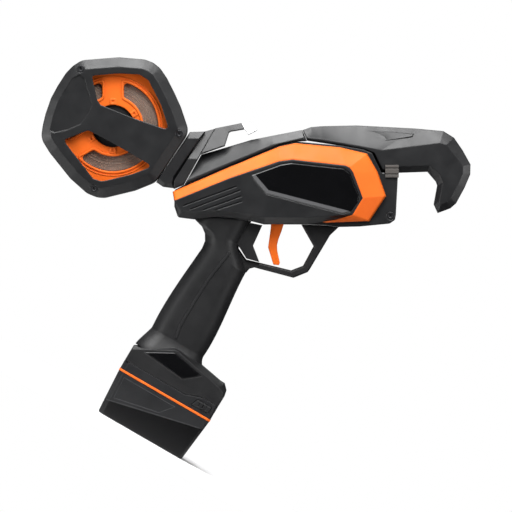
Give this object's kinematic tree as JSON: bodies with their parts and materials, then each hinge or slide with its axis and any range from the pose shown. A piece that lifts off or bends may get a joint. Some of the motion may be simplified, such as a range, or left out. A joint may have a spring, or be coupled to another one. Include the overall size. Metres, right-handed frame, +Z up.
{
  "type": "electric vine tying tool",
  "caption": "Battery vine-tying tool: pistol grip on a slide-on battery, case with a reel of tie behind, hooked nose with a swinging jaw and a twist head in front.",
  "frame": {"origin": "centre of the battery's base, where the tool stands", "axes": "+X forward towards the hook, +Z up the grip, +Y to the user's left; the body axis points 30 degrees up from +X"},
  "size_m": [0.3141, 0.0542, 0.3229],
  "materials": {
    "shell_grey": "fine texture",
    "grip_black": "fine texture",
    "orange": "satin",
    "gloss_black": "gloss",
    "battery_black": "satin",
    "nose_grey": "matte",
    "steel": "brushed",
    "motor_steel": "satin",
    "screw_black": "black oxide",
    "alloy": "satin",
    "roller_rubber": "matte",
    "circuit_board": "satin",
    "switch_plastic": "satin",
    "contact_brass": "satin",
    "cell_wrap": "satin",
    "tie_paper": "matte"
  },
  "bodies": {
    "tool": {"body_shell_left": "shell_grey", "body_shell_right": "shell_grey", "top_cover": "shell_grey", "hook_shell_left": "shell_grey", "hook_shell_right": "shell_grey", "rear_plate": "shell_grey", "neck": "shell_grey", "reel_case": "shell_grey", "hanging_hook": "shell_grey", "grip_left": "grip_black", "grip_right": "grip_black", "trigger_guard": "grip_black", "grip_front_inset": "grip_black", "stripe_left": "orange", "stripe_right": "orange", "side_plates": "gloss_black", "foot_plates": "gloss_black", "nose_blocks": "nose_grey", "hanging_hook_tip": "steel", "hook_guide": "steel", "trigger_pin": "steel", "trigger_spring": "steel", "door_pin": "steel", "roller_pins": "steel", "shaft_bearings": "steel", "cutter_blade": "steel", "tie_tube": "steel", "motor_can": "motor_steel", "feed_motor": "motor_steel", "case_screws": "screw_black", "jaw_pin": "screw_black", "drive_bulkheads": "alloy", "roller_bracket": "alloy", "reel_axle": "alloy", "control_board": "circuit_board", "trigger_switch": "switch_plastic", "terminal_block": "switch_plastic"},
    "battery": {"battery_tub": "battery_black", "battery_cover": "battery_black", "battery_band": "orange", "battery_panels": "battery_black", "battery_cells": "cell_wrap", "protection_board": "circuit_board", "battery_contacts": "contact_brass", "latch_springs": "steel"},
    "trigger": {"trigger": "orange"},
    "jaw": {"front_jaw": "shell_grey"},
    "reel": {"reel": "orange", "reel_hub": "grip_black", "tie_winding": "tie_paper"},
    "feed_roller": {"feed_roller": "roller_rubber"},
    "idler_roller": {"idler_roller": "roller_rubber"},
    "twist": {"twist_gear": "steel", "twist_shaft": "steel", "twist_head": "steel"},
    "rotor": {"motor_rotor": "motor_steel", "motor_pinion": "steel"},
    "latch_right": {"latch_button_right": "grip_black"},
    "latch_left": {"latch_button_left": "grip_black"},
    "door": {"reel_door": "shell_grey"}
  },
  "joints": [
    {"name": "battery_slide", "type": "slide", "parent": "tool", "child": "battery", "axis": [1, 0, 0], "range_m": [0, 0.05]},
    {"name": "trigger_pull", "type": "hinge", "parent": "tool", "child": "trigger", "pos_m": [0.0058, 0, 0.20196], "axis": [0, 1, 0], "range_deg": [0, 12], "stiffness_Nm_per_rad": 0.3, "springref_deg": -14.32},
    {"name": "jaw_swing", "type": "hinge", "parent": "tool", "child": "jaw", "pos_m": [0.0827, 0, 0.24497], "axis": [0, 1, 0], "range_deg": [0, 84]},
    {"name": "reel_spin", "type": "hinge", "parent": "tool", "child": "reel", "pos_m": [-0.13892, 0, 0.19762], "axis": [0, 1, 0], "continuous": true},
    {"name": "feed_spin", "type": "hinge", "parent": "tool", "child": "feed_roller", "pos_m": [-0.02229, 0, 0.21461], "axis": [0, 1, 0], "continuous": true},
    {"name": "idler_spin", "type": "hinge", "parent": "tool", "child": "idler_roller", "pos_m": [-0.02789, 0, 0.22431], "axis": [0, 1, 0], "continuous": true},
    {"name": "twist_spin", "type": "hinge", "parent": "tool", "child": "twist", "pos_m": [0.05422, 0, 0.24608], "axis": [0.866, 0, 0.5], "continuous": true},
    {"name": "rotor_spin", "type": "hinge", "parent": "tool", "child": "rotor", "pos_m": [0.01058, 0, 0.24167], "axis": [0.866, 0, 0.5], "continuous": true},
    {"name": "latch_right_press", "type": "slide", "parent": "battery", "child": "latch_right", "axis": [0, 1, 0], "range_m": [0, 0.002], "stiffness_N_per_m": 800, "springref_m": -0.002},
    {"name": "latch_left_press", "type": "slide", "parent": "battery", "child": "latch_left", "axis": [0, -1, 0], "range_m": [0, 0.002], "stiffness_N_per_m": 800, "springref_m": -0.002},
    {"name": "door_swing", "type": "hinge", "parent": "tool", "child": "door", "pos_m": [-0.16229, 0.0228, 0.23909], "axis": [0.866, 0, 0.5], "range_deg": [0, 110]}
  ],
  "couplings": [
    {"joint": "feed_spin", "follows": "reel_spin", "ratio": -5.2308},
    {"joint": "idler_spin", "follows": "reel_spin", "ratio": 7.5556},
    {"joint": "rotor_spin", "follows": "twist_spin", "ratio": -2.6}
  ]
}
